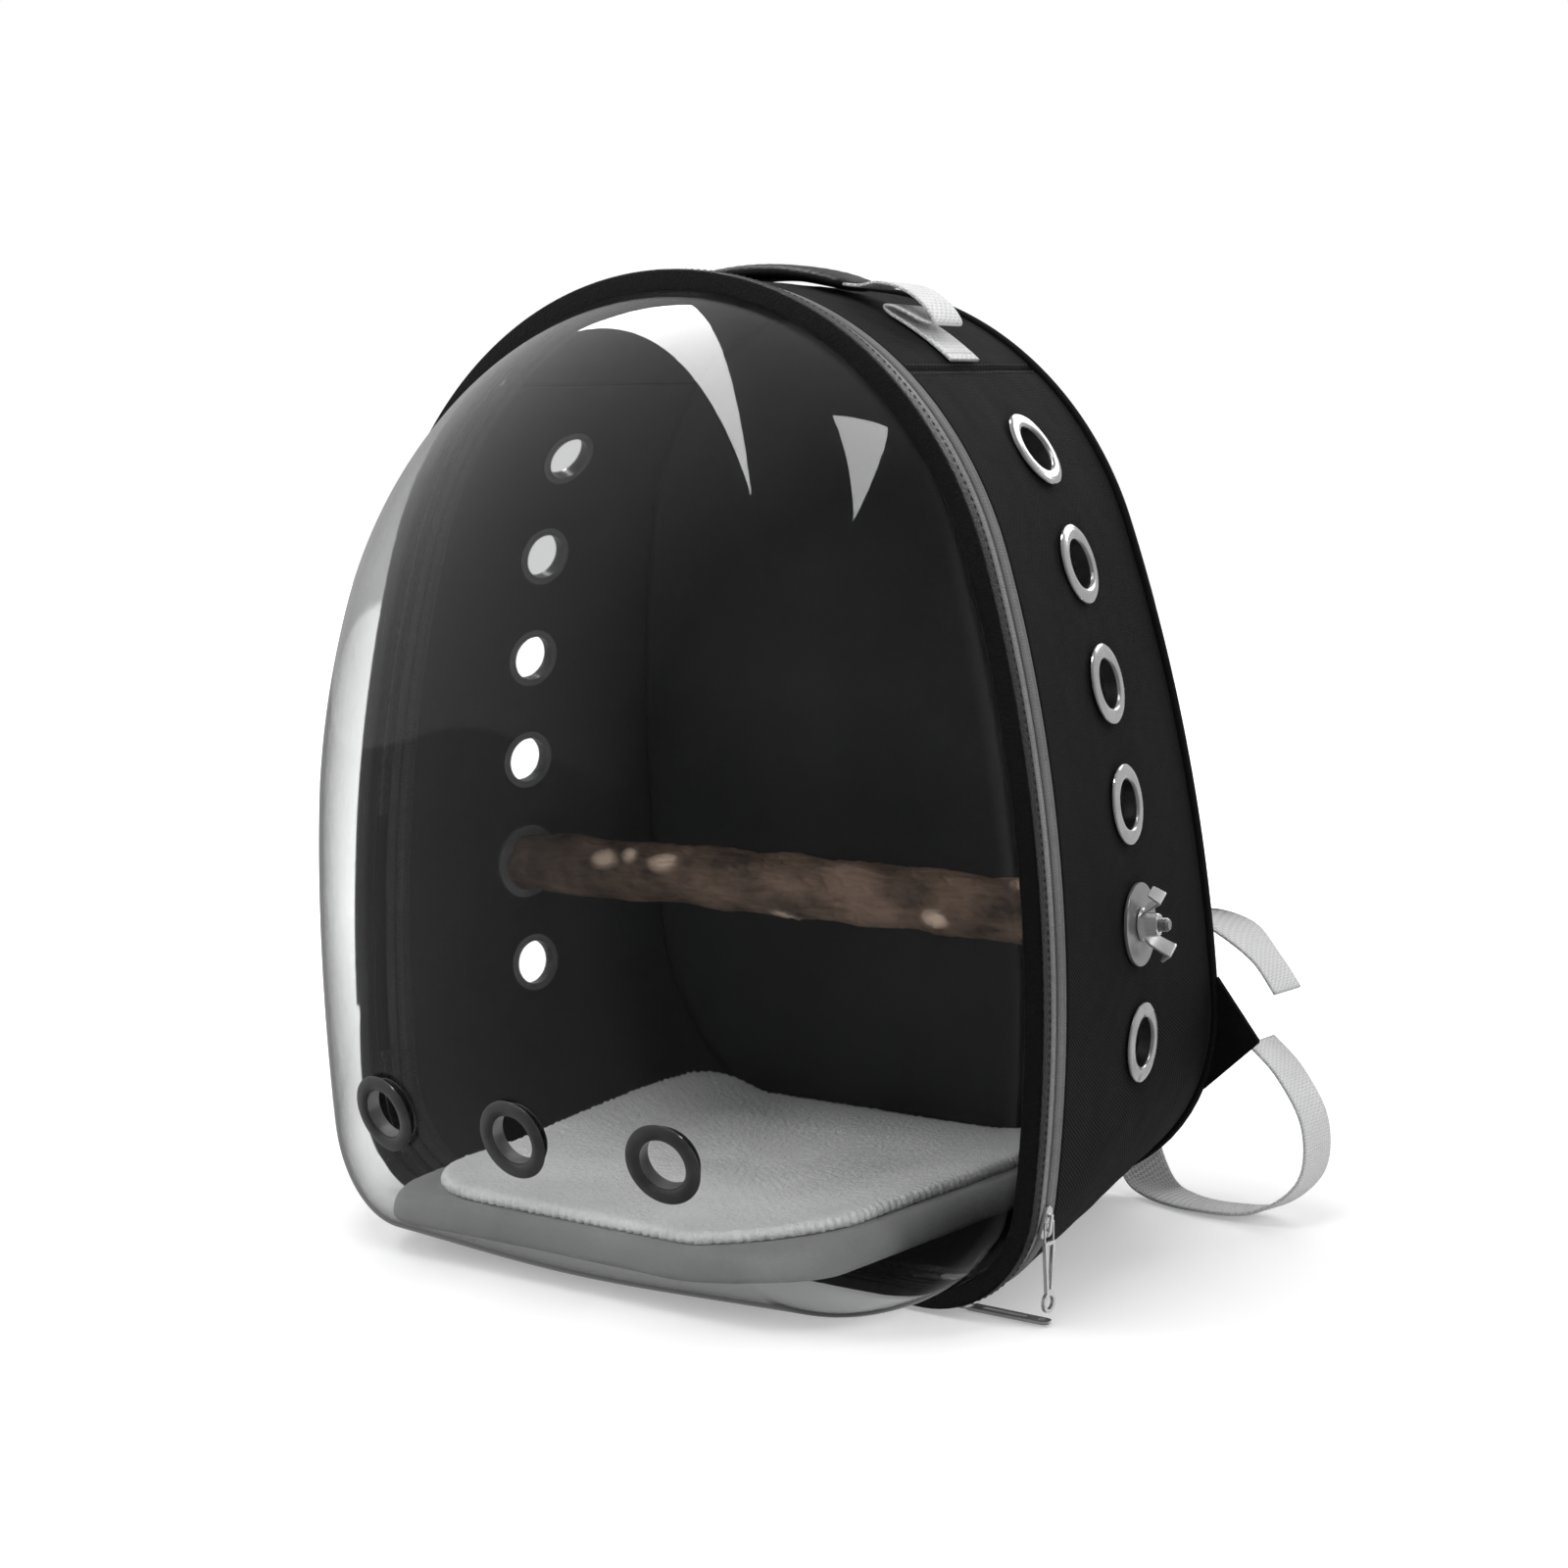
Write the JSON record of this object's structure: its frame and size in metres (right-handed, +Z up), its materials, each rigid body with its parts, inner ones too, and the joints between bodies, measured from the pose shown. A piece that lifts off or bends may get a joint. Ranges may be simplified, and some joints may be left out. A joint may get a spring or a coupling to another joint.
{
  "type": "bird travel carrier",
  "caption": "Backpack carrier for a small bird: clear bubble door on a zip, soft black shell with air eyelets, bolted bark perch, plush mat, carry handle and shoulder straps.",
  "frame": {"origin": "on the ground under the middle of the carrier, at the flat underside of the floor panel", "axes": "+X to the carrier's right as seen from the door, +Y from the door to the back panel, +Z up"},
  "size_m": [0.3938, 0.349, 0.4218],
  "materials": {
    "clear_plastic": "clear, glossy",
    "black_binding": "matt woven tape",
    "dark_metal": "dark nickel",
    "zip_tape": "coated, half gloss",
    "zip_coil": "nylon coil",
    "nickel": "bright nickel",
    "shell_fabric": "matt woven nylon",
    "hinge_fabric": "matt tape",
    "lining_fabric": "matt lining",
    "stiffener": "plain sheet",
    "mesh_pad": "spacer mesh over foam",
    "plush": "short plush on foam",
    "silver_metal": "polished",
    "bark": "rough bark",
    "grip_sleeve": "padded sleeve",
    "webbing": "woven webbing",
    "black_plastic": "moulded"
  },
  "bodies": {
    "shell": {"rear_piping": "black_binding", "zip_tape_shell": "zip_tape", "zip_coil_shell": "zip_coil", "right_panel": "shell_fabric", "left_panel": "shell_fabric", "top_panel": "shell_fabric", "floor_panel": "shell_fabric", "back_panel": "shell_fabric", "hinge_strip_shell": "hinge_fabric", "front_facing": "hinge_fabric", "strap_tab_right": "hinge_fabric", "strap_tab_left": "hinge_fabric", "strap_anchor": "hinge_fabric", "back_lining": "lining_fabric", "front_hoop": "stiffener", "back_board": "stiffener", "floor_board": "stiffener", "back_pads": "mesh_pad", "shoulder_pad_right": "mesh_pad", "shoulder_pad_left": "mesh_pad", "floor_pad": "mesh_pad", "right_eyelets": "silver_metal", "left_eyelets": "silver_metal", "right_eyelet_washers": "silver_metal", "left_eyelet_washers": "silver_metal", "perch_bolt_right": "silver_metal", "perch_bolt_left": "silver_metal", "inner_washers": "silver_metal", "outer_washers": "silver_metal", "perch_branch": "bark", "handle_webbing_right": "webbing", "handle_webbing_left": "webbing", "strap_webbing_right": "webbing", "strap_webbing_left": "webbing", "ladder_lock_right": "black_plastic", "ladder_lock_left": "black_plastic"},
    "door": {"clear_dome": "clear_plastic", "dome_binding": "black_binding", "dome_eyelets": "dark_metal", "dome_eyelet_washers": "dark_metal", "zip_tape_door": "zip_tape", "zip_coil_door": "zip_coil", "hinge_strip_door": "hinge_fabric"},
    "slider_upper": {"zip_slider_upper": "nickel"},
    "pull_upper": {"zip_pull_upper": "nickel"},
    "slider_lower": {"zip_slider_lower": "nickel"},
    "pull_lower": {"zip_pull_lower": "nickel"},
    "nut_right": {"wing_nut_right": "silver_metal"},
    "nut_left": {"wing_nut_left": "silver_metal"},
    "mat": {"plush_mat": "plush"},
    "grip": {"handle_grip": "grip_sleeve"}
  },
  "joints": [
    {"name": "door_swing", "type": "hinge", "parent": "shell", "child": "door", "pos_m": [-0.185, -0.043, 0.119], "axis": [0, 0, -1], "range_deg": [0, 150]},
    {"name": "upper_slider_travel", "type": "hinge", "parent": "shell", "child": "slider_upper", "pos_m": [-0.405, -0.043, 0.119], "axis": [0, -1, 0], "range_deg": [0, 24.5]},
    {"name": "upper_pull_swing", "type": "hinge", "parent": "slider_upper", "child": "pull_upper", "pos_m": [0.18208, -0.043, 0.04172], "axis": [0, -1, 0], "range_deg": [0, 160]},
    {"name": "lower_slider_travel", "type": "slide", "parent": "shell", "child": "slider_lower", "axis": [-1, 0, 0], "range_m": [0, 0.27]},
    {"name": "lower_pull_swing", "type": "hinge", "parent": "slider_lower", "child": "pull_lower", "pos_m": [0.13907, -0.043, 0.00185], "axis": [0, 1, 0], "range_deg": [0, 160]},
    {"name": "right_nut_turn", "type": "hinge", "parent": "shell", "child": "nut_right", "pos_m": [0.1699, 0.0444, 0.14736], "axis": [0.9838, 0.1717, 0.0507], "continuous": true},
    {"name": "left_nut_turn", "type": "hinge", "parent": "shell", "child": "nut_left", "pos_m": [-0.1699, 0.0444, 0.14736], "axis": [-0.9838, 0.1717, 0.0507], "continuous": true},
    {"name": "mat_lift", "type": "slide", "parent": "shell", "child": "mat", "axis": [0, 0, 1], "range_m": [0, 0.06]},
    {"name": "grip_lift", "type": "slide", "parent": "shell", "child": "grip", "axis": [0, 0, 1], "range_m": [0, 0.018], "deforming": ["handle_webbing_right", "handle_webbing_left"]}
  ]
}
